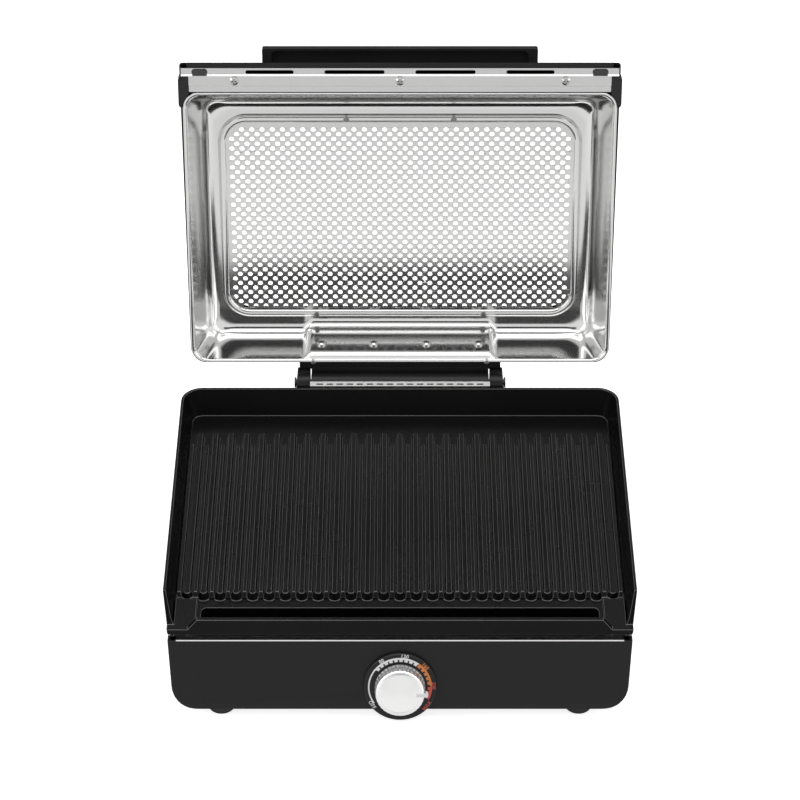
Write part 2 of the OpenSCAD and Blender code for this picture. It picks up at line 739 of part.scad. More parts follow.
module ribs() {
    half = (rib_count - 1)/2;
    difference() {
        union() {
            for (i = [-half - 1:half]) rib((i + 0.5)*rib_pitch, 5, 3.2, rib_h - 1.5, nose_y - 5, rib_back - 15);
        }
        // sloping front ends of the narrow ribs
        along_x(plate_w) polygon([[40, plate_floor_z - 2], [nose_y - 5, plate_floor_z - 2],
            [nose_y + 3, plate_floor_z + rib_h], [40, plate_floor_z + rib_h]]);
    }
    for (i = [-half:half]) {
        rib(i*rib_pitch, 7, 4.6, rib_h, nose_y, rib_back);
        translate([i*rib_pitch, nose_y, ledge_z]) cylinder(h = plate_floor_z + rib_h - ledge_z, r1 = nose_r,
            r2 = nose_r/2, $fn = 32);
    }
}

module grill_plate() {
    color(black) base_place() {
        difference() {
            union() {
                flared_tray(plate_low_z, rim_z, plate_w/2, plate_flare, plate_top_r, plate_back, 0);
                translate([0, 27, rest_z + face_gap]) linear_extrude(7) round_rect(plate_w - 18, plate_back - 33, 12);
                // body of the grease channel
                translate([0, channel_y - 4, channel_floor_z - 3]) linear_extrude(24) round_rect(channel_w + 8,
                    channel_d + 8, 8);
            }
            flared_tray(plate_floor_z, rim_z + 0.01, plate_w/2 - plate_wall, inner_flare, plate_top_r - plate_wall,
                plate_back - plate_wall, 20);
            front_wedge(0);
            // step down to the channel
            translate([-channel_w/2 - 4, channel_y, ledge_z]) cube([channel_w + 8, nose_y - channel_y, 20]);
            // grease channel
            translate([0, channel_y, channel_floor_z]) linear_extrude(60) round_rect(channel_w, channel_d, 5);
            // the side walls drop from the shoulder to the front corners
            along_x(plate_w + 40) polygon([[-20, lip_corner_z], [32, lip_corner_z], [shoulder_y, rim_z],
                [shoulder_y, rim_z + 20], [-20, rim_z + 20]]);
        }
        // corner pads beside the channel
        pair() intersection() {
            translate([channel_w/2 + 4, 20, plate_floor_z - 1]) cube([(plate_w - channel_w)/2 - 14,
                pad_back - 20, lip_corner_z - plate_floor_z + 1]);
            difference() {
                translate([0, 0, rest_z]) cube([plate_w, plate_back, 60]);
                front_wedge(0.2);
            }
        }
        // raised lip between the pads
        difference() {
            intersection() {
                translate([0, 60, 0]) rotate([90, 0, 0]) linear_extrude(80) polygon([
                    [-channel_w/2 - 10, lip_corner_z - 5], [channel_w/2 + 10, lip_corner_z - 5],
                    [channel_w/2 + 10, lip_corner_z], [channel_w/2 + 2, lip_z], [-channel_w/2 - 2, lip_z],
                    [-channel_w/2 - 10, lip_corner_z]]);
                front_wedge(lip_t);
            }
            front_wedge(0);
        }
        ribs();
    }
}

// ---- lid ----

fold_r = 5;
rim_r = 14;
flange_w = 3;

// The tub's form: grow moves every wall outwards
module tub_form(grow) {
    half_rim = lid_w/2 - flange_w;
    half_roof = roof_w/2;
    hull() for (side = [-1, 1]) {
        translate([side*(half_rim - rim_r), -flange_w - rim_r, 0]) cylinder(h = 0.1, r = rim_r - tub_t + grow, $fn = 32);
        translate([side*(half_rim - rim_r), -tub_l + flange_w + rim_r, 0]) cylinder(h = 0.1,
            r = rim_r - tub_t + grow, $fn = 32);
        for (y = [-fold_r - flange_w, -roof_l + fold_r]) translate([side*(half_roof - fold_r), y,
            lid_depth - fold_r + tub_t]) sphere(fold_r - tub_t + grow, $fn = 32);
    }
}

panel_w = 345;
panel_l = 210.4;
panel_y = -roof_l/2 - 2.3;
panel_r = 28;
bead_w = 7.6;
bead_h = 2;
window_inset = bead_w - 1;
rivet_in = 3.6;               // rivets, in from the panel's edge
rivet_d = 2.4;
rivet_front_x = 50.6;
rivet_rear_x = 81;

module panel_window(inset, z0, h) {
    translate([0, panel_y - panel_l/2 + inset, z0]) linear_extrude(h) round_rect(panel_w - 2*inset,
        panel_l - 2*inset, panel_r - inset);
}

module lid_tub() {
    color(steel) lid_place() {
        difference() {
            union() {
                tub_form(tub_t);
                translate([0, -tub_l, 0]) linear_extrude(1) round_rect(lid_w, tub_l, rim_r);
            }
            translate([0, 0, -eps]) tub_form(0);
            panel_window(window_inset, lid_depth - 20, 40);
            rivet_holes();
            pad_cut();
            for (side = [-1, 1]) for (x = bracket_screw_x) translate([side*x, 2, bracket_screw_z])
                rotate([90, 0, 0]) cylinder(h = 20, d = 3.4, $fn = 24);
        }
        // pressed-in pad that takes the hinge screws
        intersection() {
            difference() {
                pad_shape(0);
                pad_shape(tub_t);
                for (side = [-1, 1]) for (x = bracket_screw_x) translate([side*x, 2, bracket_screw_z])
                    rotate([90, 0, 0]) cylinder(h = 20, d = 3.4, $fn = 24);
            }
            tub_form(tub_t);
        }
    }
}

pad_w = 180;
pad_h = lid_depth - 1.5;

// The pad is a shallow box pressed inwards from the rear wall
module pad_shape(wall) {
    translate([0, -flange_w + (wall > 0 ? 1 : 0), 2]) rotate([90, 0, 0])
        linear_extrude(pad_in - flange_w - wall + (wall > 0 ? 1 : 0)) translate([0, wall])
        round_rect(pad_w - 2*wall, pad_h - 2*wall, 12 - wall);
}

module pad_cut() {
    translate([0, 0, 2]) rotate([90, 0, 0]) linear_extrude(pad_in - 2) translate([0, tub_t])
        round_rect(pad_w - 2*tub_t, pad_h - 2*tub_t, 12 - tub_t);
}

hole_bands = 9;
hole_step = hole_pitch/sqrt(2);
field_w = 68.4*hole_step;
field_l = (2*hole_rows + 1)*hole_step;
field_y = 1.5;                // the field's centre, behind the panel's

// A band of the perforated field, from its first to its last row
module band(first, last) {
    difference() {
        translate([-field_w/2, (first - 0.5)*hole_step]) square([field_w, (last - first + 1)*hole_step]);
        for (j = [first:last]) {
            half = abs(j) % 2 == 0 ? 16 : (abs(j) == hole_rows ? 15.5 : 16.5);
            for (i = [-half:half]) translate([i*2*hole_step, j*hole_step]) circle(d = hole_d, $fn = 16);
        }
    }
}

module vent_panel() {
    color(steel) lid_place() translate([0, panel_y, lid_depth - 1.3]) {
        difference() {
            union() {
                linear_extrude(1) difference() {
                    translate([0, -panel_l/2]) round_rect(panel_w, panel_l, panel_r);
                    translate([-field_w/2, field_y - field_l/2]) square([field_w, field_l]);
                }
                // embossed bead round the field, crowned in three steps
                bead_ring(0.6, 1);
                bead_ring(1.3, 1.6);
                bead_ring(2.2, bead_h);
            }
            translate([0, -panel_y, 1.3 - lid_depth]) rivet_holes();
        }
        // neighbouring bands stand 0.04 mm apart in height, so that no single face carries every hole
        for (b = [0:hole_bands - 1]) {
            first = -hole_rows + ceil(b*(2*hole_rows + 1)/hole_bands);
            last = -hole_rows + ceil((b + 1)*(2*hole_rows + 1)/hole_bands) - 1;
            translate([0, field_y, b % 2 == 0 ? -0.02 : 0.02]) linear_extrude(1) band(first, last);
        }
    }
}

module bead_ring(inset, h) {
    translate([0, 0, -h]) linear_extrude(h + eps) difference() {
        translate([0, -panel_l/2 + inset]) round_rect(panel_w - 2*inset, panel_l - 2*inset, panel_r - inset);
        translate([0, -panel_l/2 + bead_w - inset + 0.6]) round_rect(panel_w - 2*bead_w + 2*inset - 1.2,
            panel_l - 2*bead_w + 2*inset - 1.2, panel_r - bead_w + inset - 0.6);
    }
}

// The four places where the panel is riveted to the roof
module rivet_places() {
    pair() translate([rivet_front_x, panel_y - panel_l/2 + rivet_in]) children();
    pair() translate([rivet_rear_x, panel_y + panel_l/2 - rivet_in]) children();
}

module rivet_holes() {
    rivet_places() translate([0, 0, lid_depth - 10]) cylinder(h = 20, d = rivet_d + 2*tight, $fn = 24);
}

// The bead's face is bead_h + 1.3 under the roof
module panel_rivets() {
    color(steel) lid_place() rivet_places() translate([0, 0, lid_depth - 1.3 - bead_h]) {
        cylinder(h = 1.3 + bead_h + tub_t, d = rivet_d, $fn = 24);
        translate([0, 0, -0.9 - eps]) cylinder(h = 0.5, d1 = 4, d2 = 5.6, $fn = 32);
        translate([0, 0, -0.4 - eps]) cylinder(h = 0.4, d = 5.6, $fn = 32);
        translate([0, 0, -0.4]) cylinder(h = 0.5, d = rivet_d, $fn = 24);
    }
}

module shell_form(grow) {
    half = lid_w/2 + 0.5;
    front_half = lid_w/2 + 2;
    r = 15;
    hull() {
        for (side = [-1, 1]) {
            translate([side*(half - r), -r, 1.2]) cylinder(h = 0.1, r = r + grow, $fn = 32);
            translate([side*(front_half - 3), -lid_l + 3, 1.2]) cylinder(h = 0.1, r = 3 + grow, $fn = 32);
            for (y = [-shell_r, -roof_l - 3 + shell_r]) translate([side*(roof_w/2 + 3 - shell_r), y,
                shell_top - shell_r]) sphere(shell_r + grow, $fn = 32);
        }
    }
}

module lid_shell() {
    color(black) lid_place() {
        difference() {
            shell_form(0);
            translate([0, 0, -eps]) shell_form(-shell_t);
            panel_window(10, lid_depth - 20, 60);
            for (side = [-1, 1]) for (x = bracket_screw_x) translate([side*x, 2, bracket_screw_z])
                rotate([90, 0, 0]) cylinder(h = 20, d = 10);
            on_slope() translate([0, 0, -4]) cylinder(h = 12, d = 3.6, $fn = 24);
        }
        // turned-in front edge
        translate([-lid_w/2 + 5, -lid_l + 0.4, -0.6]) cube([lid_w - 10, 4, 4]);
    }
}

strip_screw_x = 151.6;
strip_screw_y = -tub_l - 12.4;
strip_edge = -lid_l + 4.7;
slot_y = -lid_l + 8.4;
bumper_x = 183;
cap_x = 193.5;

// Folded steel strip that closes the front of the lid, with its outlet slots
module front_strip() {
    color(steel) lid_place() difference() {
        along_x(lid_w + 1) strip_outline(1);
        for (side = [-1, 1]) {
            // centre and length of each slot
            for (c = [[41.5, 55], [119, 44]]) translate([side*c[0], slot_y, -5]) linear_extrude(10)
                slot(c[1], 3.6);
            translate([side*bumper_x, slot_y, -5]) linear_extrude(10) slot(14.6, 6);
        }
        for (x = [-1, 0, 1]*strip_screw_x) translate([x, strip_screw_y, -5]) cylinder(h = 14, d = 3.4, $fn = 24);
        // corners left to the caps
        pair() translate([cap_x - fit, strip_fold + 1.2, -6]) cube([20, 40, 20]);
    }
}

strip_fold = -tub_l - 18;

// The strip steps outwards twice: tub flange, screw band, slotted band
module strip_outline(t) {
    y1 = -tub_l - 0.6;
    polygon([[strip_edge, -0.4], [strip_fold, -0.4], [strip_fold + 0.8, -1.4], [y1 - 7, -1.4], [y1 - 5.4, 1.4],
        [y1, 1.4], [y1, 1.4 + t], [y1 - 6, 1.4 + t], [y1 - 7.6, -1.4 + t], [strip_fold + 1.4, -1.4 + t],
        [strip_fold + 0.6, -0.4 + t], [strip_edge, -0.4 + t]]);
}

module strip_screws() {
    color(steel) lid_place() for (x = [-1, 0, 1]*strip_screw_x) translate([x, strip_screw_y, -1.4])
        rotate([180, 0, 0]) screw(3.2, 8, 8.2, 2);
}

module bumpers() {
    color([0.25, 0.25, 0.25]) lid_place() pair() translate([bumper_x, slot_y, 0]) {
        translate([0, 0, -1.6]) linear_extrude(4) slot(14.1, 5.5);
        translate([0, 0, 0.7]) linear_extrude(2) slot(17, 7.2);
    }
}

cap_out = lid_w/2 + 3.6;

module corner_caps() {
    color(black) lid_place() pair() difference() {
        union() {
            translate([0, strip_fold + 1.5, -1.6]) linear_extrude(2.6) cap_outline();
            // wall outside the shell
            translate([0, strip_fold + 1.5, 0]) linear_extrude(9) difference() {
                cap_outline();
                translate([cap_x - 5, -5]) square([lid_w/2 + 2.3 - cap_x + 5, 50]);
            }
            // peg behind the shell's wall
            translate([cap_x, strip_fold + 4, 0]) cube([3.6, 24, 4]);
        }
        translate([0, -tub_l - fit, -4]) linear_extrude(20) round_rect(lid_w + 2*fit, tub_l, rim_r + fit);
    }
}

module cap_outline() {
    translate([cap_x, 0]) square([cap_out - 4 - cap_x, 31]);
    translate([cap_x, 4]) square([cap_out - cap_x, 23]);
    for (y = [4, 27]) translate([cap_out - 4, y]) circle(4);
}

handle_w = 255;
handle_screw_x = 70;

// Slope of the shell's front, and a frame on its outer face where the handle's screws go through
front_slope = shell_slope();
screw_up = 41;
function shell_slope() = let (dy = lid_l - roof_l - 3 + shell_r, dz = shell_top - shell_r - 1.3)
    atan2(dz, dy) + asin(shell_r/norm([dy, dz]));
screw_out = lid_l - (screw_up - 1.3)/tan(front_slope);

module on_slope() {
    for (side = [-1, 1]) translate([side*handle_screw_x, -screw_out, screw_up])
        rotate([front_slope + 180, 0, 0]) children();
}

module lid_handle() {
    color(black) lid_place() difference() {
        translate([0, handle_y, handle_z]) linear_extrude(handle_t) round_rect(handle_w, 64, 1.5);
        // grip recess under the handle
        translate([0, handle_y + 2, handle_z - 1]) linear_extrude(5.5) round_rect(handle_w - 17, 29, 6);
        shell_form(0.15);
        on_slope() translate([0, 0, -7.5]) cylinder(h = 20, d = 3.1, $fn = 24);
    }
}

module handle_screws() {
    color(steel) lid_place() on_slope() translate([0, 0, shell_t]) screw(3, 7, 6.6, 1.6);
}

housing();
bottom_cover();
feet();
foot_screws();
cover_screws();
heat_liner();
liner_screws();
heating_element();
element_insulators();
element_clips();
thermostat();
thermostat_bracket();
sensing_rod();
thermal_fuse();
terminal_block();
wiring();
cord_gland();
dial_plate();
hinge_stand();
hinge_pin();
knob_skirt();
knob_cap();
knob_pointer();
thermostat_shaft();
knob_spring();
grill_plate();
lid_tub();
vent_panel();
panel_rivets();
lid_shell();
front_strip();
strip_screws();
corner_caps();
bumpers();
lid_handle();
handle_screws();
hinge_bracket();
bracket_screws();
bracket_rivets();
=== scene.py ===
import json
import math

import bmesh
import bpy
from mathutils import Matrix, Vector


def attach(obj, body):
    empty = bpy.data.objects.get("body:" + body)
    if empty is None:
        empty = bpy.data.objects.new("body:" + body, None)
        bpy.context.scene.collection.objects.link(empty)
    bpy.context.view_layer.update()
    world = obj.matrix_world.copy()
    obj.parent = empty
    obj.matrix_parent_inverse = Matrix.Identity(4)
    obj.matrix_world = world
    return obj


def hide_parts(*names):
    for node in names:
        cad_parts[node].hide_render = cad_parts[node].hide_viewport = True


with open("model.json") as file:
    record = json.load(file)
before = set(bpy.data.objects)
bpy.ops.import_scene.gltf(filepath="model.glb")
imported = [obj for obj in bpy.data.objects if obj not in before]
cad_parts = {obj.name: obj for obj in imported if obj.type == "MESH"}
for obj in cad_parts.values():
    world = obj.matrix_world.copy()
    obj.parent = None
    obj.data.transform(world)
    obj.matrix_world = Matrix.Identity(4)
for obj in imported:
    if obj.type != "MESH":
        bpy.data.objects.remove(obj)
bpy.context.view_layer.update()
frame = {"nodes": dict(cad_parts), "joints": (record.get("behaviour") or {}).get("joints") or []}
part = frame["nodes"]
hinge = Vector(next(j["pos_m"] for j in frame["joints"] if j["name"] == "lid_hinge"))
knob_centre = Vector(next(j["pos_m"] for j in frame["joints"] if j["name"] == "knob_turn"))
knob_axis = Vector(next(j["axis"] for j in frame["joints"] if j["name"] == "knob_turn"))


# ---------------------------------------------------------------- room
# A pale worktop that runs out to white, one wide overhead softbox, two side panels, and two black flags,
# above the cook's head and behind the grill, that give the polished steel something dark to mirror.
# The worktop and the world are white to the eye and to polished metal, and keep the shadow.

FRONT_EDGE = knob_centre.y - 0.007816          # the housing's lower front edge, in Y
CAMERA_BACK, CAMERA_HEIGHT = 1.8652, 1.8153    # from that edge, and over the worktop
CAMERA_TILT = 52.0158                          # degrees up from straight down

bpy.ops.object.camera_add()
camera = bpy.context.object
camera.data.sensor_width = 36
camera.data.lens = 131.38
camera.data.clip_end = 20
camera.location = (0, FRONT_EDGE - CAMERA_BACK, CAMERA_HEIGHT)
camera.rotation_euler = (math.radians(CAMERA_TILT), 0, 0)
bpy.context.scene.camera = camera
bpy.context.scene.view_settings.view_transform = "Standard"

ROOM_LIGHT = 0.4               # on matt surfaces; the eye and polished metal see a white room
world = bpy.data.worlds.new("studio")
bpy.context.scene.world = world
world.use_nodes = True
sky = world.node_tree.nodes
sky_links = world.node_tree.links
sky.clear()
rays = sky.new("ShaderNodeLightPath")
room_light = sky.new("ShaderNodeBackground")
room_light.inputs["Color"].default_value = (1, 1, 1, 1)
room_light.inputs["Strength"].default_value = ROOM_LIGHT
backdrop = sky.new("ShaderNodeBackground")
backdrop.inputs["Color"].default_value = (1, 1, 1, 1)
backdrop.inputs["Strength"].default_value = 1
pick = sky.new("ShaderNodeMixShader")
shown = sky.new("ShaderNodeOutputWorld")
white_to = sky.new("ShaderNodeMath")
white_to.operation = "MAXIMUM"
sky_links.new(rays.outputs["Is Camera Ray"], white_to.inputs[0])
sky_links.new(rays.outputs["Is Glossy Ray"], white_to.inputs[1])
sky_links.new(white_to.outputs[0], pick.inputs["Fac"])
sky_links.new(room_light.outputs[0], pick.inputs[1])
sky_links.new(backdrop.outputs[0], pick.inputs[2])
sky_links.new(pick.outputs[0], shown.inputs[0])

for name, place, aim, size, power in (
        ("overhead softbox", (0, 0.1, 2.3), (0, 0, 0.1), (2.6, 1.8), 30),
        ("left panel", (-2.0, -0.9, 1.2), (0, 0, 0.15), (0.8, 1.6), 9),
        ("right panel", (2.0, -0.7, 1.2), (0, 0, 0.15), (0.8, 1.6), 7)):
    lamp = bpy.data.objects.new(name, bpy.data.lights.new(name, "AREA"))
    lamp.data.shape = "RECTANGLE"
    lamp.data.size, lamp.data.size_y = size
    lamp.data.energy = power
    lamp.location = place
    lamp.rotation_euler = (Vector(aim) - Vector(place)).to_track_quat("-Z", "Y").to_euler()
    bpy.context.scene.collection.objects.link(lamp)


def new_material(name):
    """An empty material, with what it takes to build its nodes."""
    material = bpy.data.materials.new(name)
    material.use_nodes = True
    tree = material.node_tree
    return material, tree.nodes, tree.links, tree.nodes["Principled BSDF"]


black_cloth, _, _, cloth_shader = new_material("black cloth")
cloth_shader.inputs["Base Color"].default_value = (0.02, 0.02, 0.02, 1)
cloth_shader.inputs["Roughness"].default_value = 0.9
for name, place, lean, size in (("front flag", (0, -2.75, 2.35), 52, (2.4, 1.3, 1, 1)),
                                ("rear flag", (0, 2.6, 0.95), 90, (3.2, 1.5, 1, 1))):
    cloth = bmesh.new()
    bmesh.ops.create_grid(cloth, x_segments=1, y_segments=1, size=0.5,
                          matrix=Matrix.Translation(place) @ Matrix.Rotation(math.radians(lean), 4, "X")
                          @ Matrix.Diagonal(size))
    flag_mesh = bpy.data.meshes.new(name)
    cloth.to_mesh(flag_mesh)
    cloth.free()
    flag_mesh.materials.append(black_cloth)
    flag = bpy.data.objects.new(name, flag_mesh)
    bpy.context.scene.collection.objects.link(flag)
    flag.visible_camera = False
    flag.visible_diffuse = False
    flag.visible_shadow = False

WORKTOP_HALF = 6.0
SEEN_GLOW, MIRRORED_GLOW = 0.8, 0.2     # light the worktop adds to the eye's view and to reflections
worktop_mesh = bpy.data.meshes.new("worktop")
sheet = bmesh.new()
bmesh.ops.create_grid(sheet, x_segments=1, y_segments=1, size=WORKTOP_HALF)
sheet.to_mesh(worktop_mesh)
sheet.free()
worktop = bpy.data.objects.new("worktop", worktop_mesh)
bpy.context.scene.collection.objects.link(worktop)
floor_white, nodes, links, shader = new_material("worktop white")
shader.inputs["Base Color"].default_value = (0.92, 0.92, 0.92, 1)
shader.inputs["Roughness"].default_value = 0.75
shader.inputs["Specular IOR Level"].default_value = 0.2
shader.inputs["Emission Color"].default_value = (1, 1, 1, 1)
seen = nodes.new("ShaderNodeLightPath")
stronger = nodes.new("ShaderNodeMath")
stronger.operation = "MAXIMUM"
for slot, (ray, strength) in enumerate((("Is Camera Ray", SEEN_GLOW), ("Is Glossy Ray", MIRRORED_GLOW))):
    glow = nodes.new("ShaderNodeMath")
    glow.operation = "MULTIPLY"
    glow.inputs[1].default_value = strength
    links.new(seen.outputs[ray], glow.inputs[0])
    links.new(glow.outputs[0], stronger.inputs[slot])
links.new(stronger.outputs[0], shader.inputs["Emission Strength"])
worktop_mesh.materials.append(floor_white)


# ---------------------------------------------------------------- housing
# The base's shell, moulded in heat-resistant black plastic with a fine satin grain.
# Its floor is a powder-coated pressed cover. A small round breaks the moulding's edges.

def coat_group():
    """Fine grain of a paint, coating or moulded skin: roughness and height that vary over the surface."""
    group = bpy.data.node_groups.new("fine grain", "ShaderNodeTree")
    for label, value in (("Scale", 900.0), ("Low", 0.4), ("High", 0.5), ("Cloud", 12.0)):
        group.interface.new_socket(label, in_out="INPUT", socket_type="NodeSocketFloat").default_value = value
    group.interface.new_socket("Roughness", in_out="OUTPUT", socket_type="NodeSocketFloat")
    group.interface.new_socket("Height", in_out="OUTPUT", socket_type="NodeSocketFloat")
    group.interface.new_socket("Shade", in_out="OUTPUT", socket_type="NodeSocketFloat")
    nodes, links = group.nodes, group.links
    start = nodes.new("NodeGroupInput")
    end = nodes.new("NodeGroupOutput")
    place = nodes.new("ShaderNodeTexCoord")
    fine = nodes.new("ShaderNodeTexNoise")
    fine.inputs["Detail"].default_value = 3
    cloud = nodes.new("ShaderNodeTexNoise")
    cloud.inputs["Detail"].default_value = 4
    spread = nodes.new("ShaderNodeMapRange")
    links.new(place.outputs["Object"], fine.inputs["Vector"])
    links.new(place.outputs["Object"], cloud.inputs["Vector"])
    links.new(start.outputs["Scale"], fine.inputs["Scale"])
    links.new(start.outputs["Cloud"], cloud.inputs["Scale"])
    links.new(cloud.outputs["Fac"], spread.inputs["Value"])
    spread.inputs["From Min"].default_value = 0.3
    spread.inputs["From Max"].default_value = 0.7
    links.new(start.outputs["Low"], spread.inputs["To Min"])
    links.new(start.outputs["High"], spread.inputs["To Max"])
    links.new(spread.outputs["Result"], end.inputs["Roughness"])
    links.new(fine.outputs["Fac"], end.inputs["Height"])
    links.new(cloud.outputs["Fac"], end.inputs["Shade"])
    return group


fine_grain = coat_group()


def coated(name, colour, low, high, scale, bump, gloss=0.5):
    """A painted, coated or moulded finish: colour that clouds a little, and a grain in gloss and surface."""
    material, nodes, links, shader = new_material(name)
    shader.inputs["Specular IOR Level"].default_value = gloss
    grain = nodes.new("ShaderNodeGroup")
    grain.node_tree = fine_grain
    grain.inputs["Scale"].default_value = scale
    grain.inputs["Low"].default_value = low
    grain.inputs["High"].default_value = high
    tone = nodes.new("ShaderNodeMix")
    tone.data_type = "RGBA"
    tone.inputs["A"].default_value = [c*0.85 for c in colour] + [1]
    tone.inputs["B"].default_value = [min(1, c*1.15) for c in colour] + [1]
    relief = nodes.new("ShaderNodeBump")
    relief.inputs["Strength"].default_value = bump
    relief.inputs["Distance"].default_value = 0.0002
    links.new(grain.outputs["Shade"], tone.inputs["Factor"])
    links.new(tone.outputs["Result"], shader.inputs["Base Color"])
    links.new(grain.outputs["Roughness"], shader.inputs["Roughness"])
    links.new(grain.outputs["Height"], relief.inputs["Height"])
    links.new(relief.outputs["Normal"], shader.inputs["Normal"])
    return material


def wear_on(node, material):
    """Gives a CAD node its finish."""
    part[node].data.materials.clear()
    part[node].data.materials.append(material)


SAME_POINT = 0.000005          # metres; corners nearer than this are one


def broken_edges(node, width, angle=38, highlight_paint=None):
    """Breaks a CAD node's sharp edges by a small round that catches the light, given a painted highlight
    colour or not.
    """
    merged = part[node].modifiers.new("merge", "WELD")
    merged.merge_threshold = SAME_POINT
    edge = part[node].modifiers.new("edge round", "BEVEL")
    edge.width = width
    edge.segments = 2
    edge.limit_method = "ANGLE"
    edge.angle_limit = math.radians(angle)
    edge.use_clamp_overlap = False
    edge.harden_normals = False
    # A colour given here for the round is a painted highlight.
    if highlight_paint:
        part[node].data.materials.append(highlight_paint)
        edge.material = 1
    level = part[node].modifiers.new("level faces", "WEIGHTED_NORMAL")
    level.weight = 100
    level.keep_sharp = True


wear_on("housing", coated("satin black moulding", (0.01, 0.01, 0.0105), 0.38, 0.46, 1400, 0.1, 0.22))
wear_on("bottom_cover", coated("powder coat", (0.012, 0.012, 0.012), 0.5, 0.6, 1600, 0.3))
broken_edges("housing", 0.0006)


# ---------------------------------------------------------------- feet and their screws
# Four turned rubber feet, each held up into the housing's floor by one plated screw. The screws that the cook
# sees are nickel plated, and the hidden ones zinc plated.

wear_on("feet", coated("foot rubber", (0.012, 0.012, 0.012), 0.6, 0.75, 900, 0.25))


def brushed_group():
    """Fine scratches that run one way: noise stretched along an axis."""
    group = bpy.data.node_groups.new("brushed lines", "ShaderNodeTree")
    stretch = group.interface.new_socket("Stretch", in_out="INPUT", socket_type="NodeSocketVector")
    stretch.default_value = (40, 3000, 3000)
    for label, value in (("Low", 0.15), ("High", 0.3)):
        group.interface.new_socket(label, in_out="INPUT", socket_type="NodeSocketFloat").default_value = value
    group.interface.new_socket("Roughness", in_out="OUTPUT", socket_type="NodeSocketFloat")
    group.interface.new_socket("Height", in_out="OUTPUT", socket_type="NodeSocketFloat")
    nodes, links = group.nodes, group.links
    start = nodes.new("NodeGroupInput")
    end = nodes.new("NodeGroupOutput")
    place = nodes.new("ShaderNodeTexCoord")
    pull = nodes.new("ShaderNodeVectorMath")
    pull.operation = "MULTIPLY"
    lines = nodes.new("ShaderNodeTexNoise")
    lines.inputs["Scale"].default_value = 1
    lines.inputs["Detail"].default_value = 2
    spread = nodes.new("ShaderNodeMapRange")
    links.new(place.outputs["Object"], pull.inputs[0])
    links.new(start.outputs["Stretch"], pull.inputs[1])
    links.new(pull.outputs[0], lines.inputs["Vector"])
    links.new(lines.outputs["Fac"], spread.inputs["Value"])
    links.new(start.outputs["Low"], spread.inputs["To Min"])
    links.new(start.outputs["High"], spread.inputs["To Max"])
    links.new(spread.outputs["Result"], end.inputs["Roughness"])
    links.new(lines.outputs["Fac"], end.inputs["Height"])
    return group


brushed_lines = brushed_group()


def steel(name, colour, low, high, stretch, bump):
    """Bare metal with fine lines that run one way."""
    material, nodes, links, shader = new_material(name)
    shader.inputs["Metallic"].default_value = 1
    shader.inputs["Base Color"].default_value = list(colour) + [1]
    lines = nodes.new("ShaderNodeGroup")
    lines.node_tree = brushed_lines
    lines.inputs["Stretch"].default_value = stretch
    lines.inputs["Low"].default_value = low
    lines.inputs["High"].default_value = high
    relief = nodes.new("ShaderNodeBump")
    relief.inputs["Strength"].default_value = bump
    relief.inputs["Distance"].default_value = 0.0001
    links.new(lines.outputs["Roughness"], shader.inputs["Roughness"])
    links.new(lines.outputs["Height"], relief.inputs["Height"])
    links.new(relief.outputs["Normal"], shader.inputs["Normal"])
    return material


EVEN = (900, 900, 900)         # no direction: plating and tumbled parts
ROLLED = (60, 2500, 2500)      # lines along X, as the sheet left the rolls
plated = steel("zinc plate", (0.66, 0.66, 0.65), 0.2, 0.35, EVEN, 0.05)
for node in ("foot_screws", "cover_screws", "liner_screws", "bracket_rivets", "knob_spring",
             "thermostat_shaft"):
    wear_on(node, plated)
nickel = steel("nickel plate", (0.46, 0.46, 0.455), 0.16, 0.26, EVEN, 0.03)
wear_on("strip_screws", nickel)
wear_on("bracket_screws", nickel)


# ---------------------------------------------------------------- liner, element and what they carry
# Bright rolled steel pan under the plate, folded up before the hinge, and the dark tube that lies in its
# clips. Below are the thermostat with its brass rod, ceramic fuse and terminal block, and sleeved wires.

liner_steel = steel("liner steel", (0.82, 0.82, 0.81), 0.22, 0.36, ROLLED, 0.05)
for node in ("heat_liner", "element_clips", "thermostat_bracket"):
    wear_on(node, liner_steel)
wear_on("heating_element", steel("heated tube", (0.16, 0.15, 0.14), 0.4, 0.6, (700, 700, 700), 0.2))
wear_on("sensing_rod", steel("rod brass", (0.72, 0.53, 0.25), 0.25, 0.4, EVEN, 0.1))
wear_on("thermostat", steel("thermostat can", (0.5, 0.5, 0.49), 0.3, 0.4, EVEN, 0.1))
ceramic = coated("steatite", (0.78, 0.74, 0.66), 0.5, 0.65, 1500, 0.3)
for node in ("element_insulators", "thermal_fuse", "terminal_block"):
    wear_on(node, ceramic)
wear_on("wiring", coated("silicone sleeve", (0.5, 0.03, 0.02), 0.4, 0.5, 900, 0.1))
trim = coated("moulded black", (0.015, 0.015, 0.0155), 0.42, 0.52, 1800, 0.2, 0.3)
wear_on("cord_gland", trim)


# ---------------------------------------------------------------- dial and its printed scale
# A round black plate on the housing's sloping front, with a scale printed on it in three inks:
# white where the plate is cool, orange and then red as the numbers rise.

OUT = Vector((0, knob_axis.y, knob_axis.z)).normalized()
UP_PANEL = Vector((1, 0, 0)).cross(OUT) * -1
dial_seat = Matrix((
    (1, 0, 0, knob_centre.x),
    (0, UP_PANEL.y, OUT.y, knob_centre.y),
    (0, UP_PANEL.z, OUT.z, knob_centre.z),
    (0, 0, 0, 1)))
PRINT_FACE = 4.02              # mm, where the print lies over the housing's face
INK = 0.04                     # mm, thickness of the ink
RING_IN, RING_OUT = 26.4, 28.2
THIN_IN = 26.9                 # the ring's thinner stretch before the first tick
TICK_IN = 24.4
WORD_RADIUS, WORD_SIZE = 29.75, 4.5


